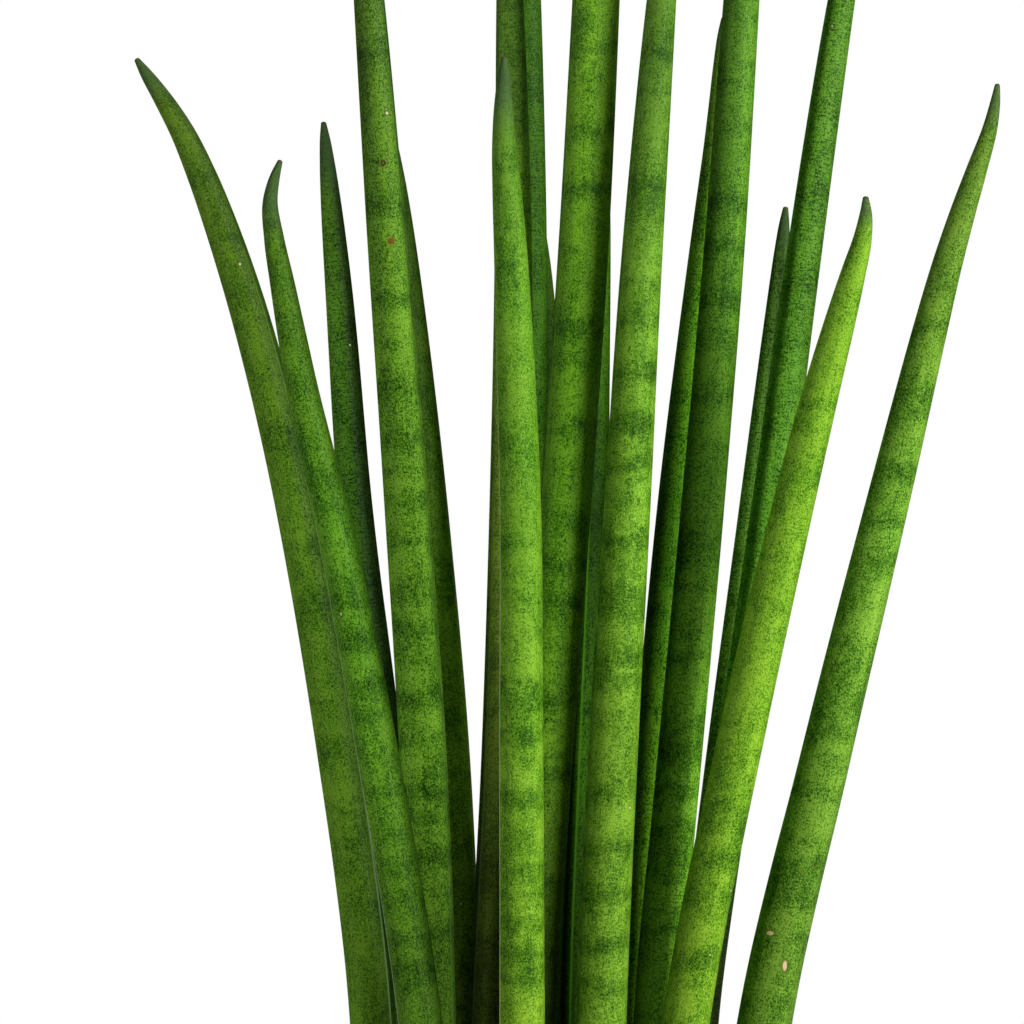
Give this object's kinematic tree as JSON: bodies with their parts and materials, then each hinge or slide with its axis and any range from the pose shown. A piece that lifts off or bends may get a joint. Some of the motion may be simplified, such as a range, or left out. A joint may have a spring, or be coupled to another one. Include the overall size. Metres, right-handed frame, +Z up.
{
  "type": "potted mikado snake plant",
  "caption": "Mikado snake plant: a fan of upright, almost cylindrical, dark-speckled green leaves with channels, rising from potting mix in a plain clay pot.",
  "frame": {"origin": "middle of the pot's flat underside", "axes": "+Z up along the leaves, -Y is the side the picture was taken from, +X to the right of that view"},
  "size_m": [0.2052, 0.14, 0.566],
  "materials": {
    "leaf_bright": "yellow-green leaf skin with fine dark speckles and soft cross bands, satin",
    "leaf_mid": "green leaf skin with fine dark speckles and soft cross bands, satin",
    "leaf_deep": "deep green leaf skin with fine dark speckles, satin",
    "leaf_bronze": "bronze-green leaf skin with fine dark speckles, satin",
    "rhizome": "pale tan fleshy underground stem, matt",
    "soil": "dark peat and bark potting mix with mineral grit, matt",
    "pot": "unglazed terracotta, matt"
  },
  "bodies": {
    "root": {"leaf_01": "leaf_mid", "leaf_02": "leaf_mid", "leaf_03": "leaf_deep", "leaf_04": "leaf_mid", "leaf_05": "leaf_deep", "leaf_06": "leaf_bronze", "leaf_07": "leaf_deep", "leaf_08": "leaf_deep", "leaf_09": "leaf_bright", "leaf_10": "leaf_mid", "leaf_11": "leaf_mid", "leaf_12": "leaf_mid", "leaf_13": "leaf_bright", "leaf_14": "leaf_mid", "leaf_15": "leaf_deep", "leaf_16": "leaf_deep", "leaf_17": "leaf_bright", "leaf_18": "leaf_bright", "rhizome": "rhizome", "soil": "soil", "pot": "pot"}
  },
  "joints": []
}
